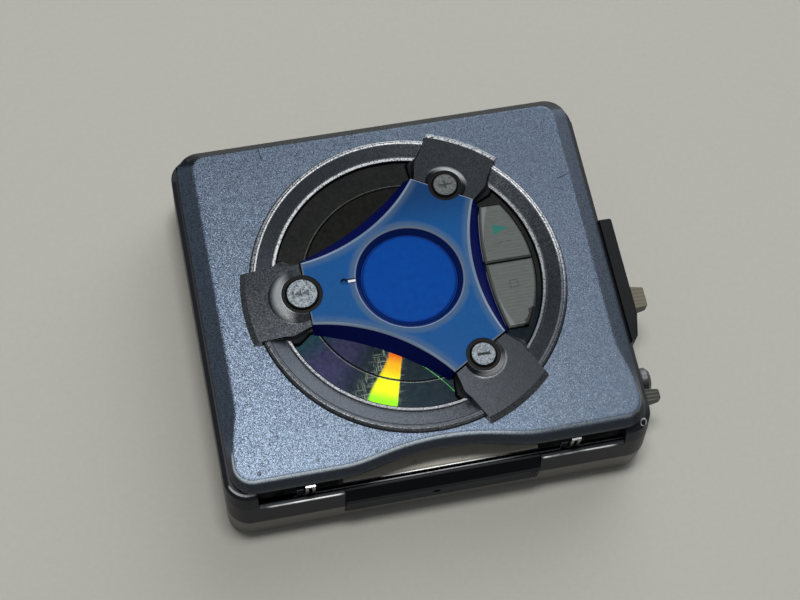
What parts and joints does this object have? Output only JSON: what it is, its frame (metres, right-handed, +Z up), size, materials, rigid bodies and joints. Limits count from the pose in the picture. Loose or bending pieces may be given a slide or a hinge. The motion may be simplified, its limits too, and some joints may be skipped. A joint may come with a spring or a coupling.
{
  "type": "portable minidisc player",
  "caption": "Flat pocket disc player: hinged lid with a round window, three-armed blue cover and press buttons, cartridge slot, side sliders, headphone jack and disc drive inside.",
  "frame": {"origin": "on the table plane under the middle of the lid, on the case's flat base", "axes": "+X to the player's right, +Y to the hinge side, +Z up through the lid"},
  "size_m": [0.0903, 0.0765, 0.0237],
  "materials": {
    "lid_paint": "metallic silver-blue paint, fine sparkle",
    "ring_silver": "satin silver paint",
    "disc_mirror": "grooved mirror",
    "spoke_blue": "worn glossy blue",
    "badge_blue": "clear blue",
    "lamp_white": "gloss",
    "black_trim": "gloss",
    "button_silver": "speckled satin",
    "key_beige": "brushed",
    "board_green": "matt",
    "chip_black": "matt",
    "steel_bright": "polished",
    "steel_sheet": "rolled",
    "frame_dark": "satin",
    "case_grey": "satin",
    "sill_ivory": "matt",
    "knob_khaki": "satin",
    "knob_dark": "satin",
    "rubber_black": "matt",
    "cell_shell": "satin",
    "contact_brass": "satin",
    "lens_glass": "clear",
    "jack_dark": "matt"
  },
  "bodies": {
    "case": {"lower_case": "case_grey", "mid_frame": "frame_dark", "front_panel": "case_grey", "slot_sill": "sill_ivory", "side_control_block": "frame_dark", "phones_jack": "jack_dark", "jack_collar": "steel_bright", "dc_jack": "jack_dark", "battery_cell": "cell_shell", "battery_contacts": "contact_brass", "battery_door_pin": "steel_bright", "main_board": "board_green", "board_chips": "chip_black", "mech_chassis": "steel_sheet", "hinge_brackets": "steel_sheet", "rod_brackets": "steel_sheet", "side_panel": "frame_dark", "chassis_dampers": "rubber_black", "spindle_motor": "steel_sheet", "guide_rods": "steel_bright", "sled_motor": "steel_sheet", "case_screws": "steel_sheet", "hinge_pins": "steel_bright"},
    "lid": {"lid_cover": "lid_paint", "window_bezel": "ring_silver", "disc_window": "disc_mirror", "spoke_cover": "spoke_blue", "centre_badge": "badge_blue", "indicator_lens": "lamp_white", "button_rings": "black_trim", "key_board": "board_green", "key_switches": "chip_black", "latch_loops": "steel_bright"},
    "holder": {"cartridge_holder": "steel_sheet"},
    "track_back": {"track_back_button": "button_silver"},
    "volume_up": {"volume_up_button": "button_silver"},
    "volume_down": {"volume_down_button": "button_silver"},
    "play": {"play_key": "key_beige"},
    "stop": {"stop_key": "key_beige"},
    "hold": {"hold_knob": "knob_khaki"},
    "open": {"open_knob": "knob_dark", "latch_link": "knob_dark"},
    "latch": {"latch_bar": "steel_sheet"},
    "door": {"battery_door": "case_grey"},
    "platter": {"turntable": "steel_bright"},
    "pickup": {"pickup_carriage": "steel_sheet", "objective_lens": "lens_glass"},
    "screw": {"lead_screw": "steel_bright"}
  },
  "joints": [
    {"name": "lid_hinge", "type": "hinge", "parent": "case", "child": "lid", "pos_m": [0, 0.0342, 0.0168], "axis": [-1, 0, 0], "range_deg": [0, 30]},
    {"name": "holder_hinge", "type": "hinge", "parent": "case", "child": "holder", "pos_m": [0, 0.0342, 0.0168], "axis": [-1, 0, 0], "range_deg": [0, 15]},
    {"name": "track_back_press", "type": "slide", "parent": "lid", "child": "track_back", "axis": [0, 0, -1], "range_m": [0, 0.0003], "stiffness_N_per_m": 400, "springref_m": -0.0005},
    {"name": "volume_up_press", "type": "slide", "parent": "lid", "child": "volume_up", "axis": [0, 0, -1], "range_m": [0, 0.0003], "stiffness_N_per_m": 400, "springref_m": -0.0005},
    {"name": "volume_down_press", "type": "slide", "parent": "lid", "child": "volume_down", "axis": [0, 0, -1], "range_m": [0, 0.0003], "stiffness_N_per_m": 400, "springref_m": -0.0005},
    {"name": "play_press", "type": "slide", "parent": "lid", "child": "play", "axis": [0, 0, -1], "range_m": [0, 0.0003], "stiffness_N_per_m": 400, "springref_m": -0.0005},
    {"name": "stop_press", "type": "slide", "parent": "lid", "child": "stop", "axis": [0, 0, -1], "range_m": [0, 0.0003], "stiffness_N_per_m": 400, "springref_m": -0.0005},
    {"name": "hold_slide", "type": "slide", "parent": "case", "child": "hold", "axis": [0, 1, 0], "range_m": [0, 0.002]},
    {"name": "latch_slide", "type": "slide", "parent": "case", "child": "latch", "axis": [-1, 0, 0], "range_m": [0, 0.002], "stiffness_N_per_m": 100, "springref_m": -0.001},
    {"name": "open_slide", "type": "slide", "parent": "case", "child": "open", "axis": [0, -1, 0], "range_m": [0, 0.0025]},
    {"name": "battery_door_hinge", "type": "hinge", "parent": "case", "child": "door", "pos_m": [-0.0189, 0.0363, 0.0045], "axis": [0, 0, -1], "range_deg": [0, 100]},
    {"name": "platter_spin", "type": "hinge", "parent": "case", "child": "platter", "pos_m": [0, -0.0018, 0.0135], "axis": [0, 0, 1], "continuous": true},
    {"name": "screw_spin", "type": "hinge", "parent": "case", "child": "screw", "pos_m": [0.01, -0.0143, 0.0092], "axis": [1, 0, 0], "range_deg": [0, 2432]},
    {"name": "pickup_slide", "type": "slide", "parent": "case", "child": "pickup", "axis": [1, 0, 0], "range_m": [0, 0.0135]}
  ],
  "couplings": [
    {"joint": "holder_hinge", "follows": "lid_hinge", "ratio": 0.5},
    {"joint": "open_slide", "follows": "latch_slide", "ratio": 1.25},
    {"joint": "screw_spin", "follows": "pickup_slide", "rad_per_m": 3141.6}
  ]
}
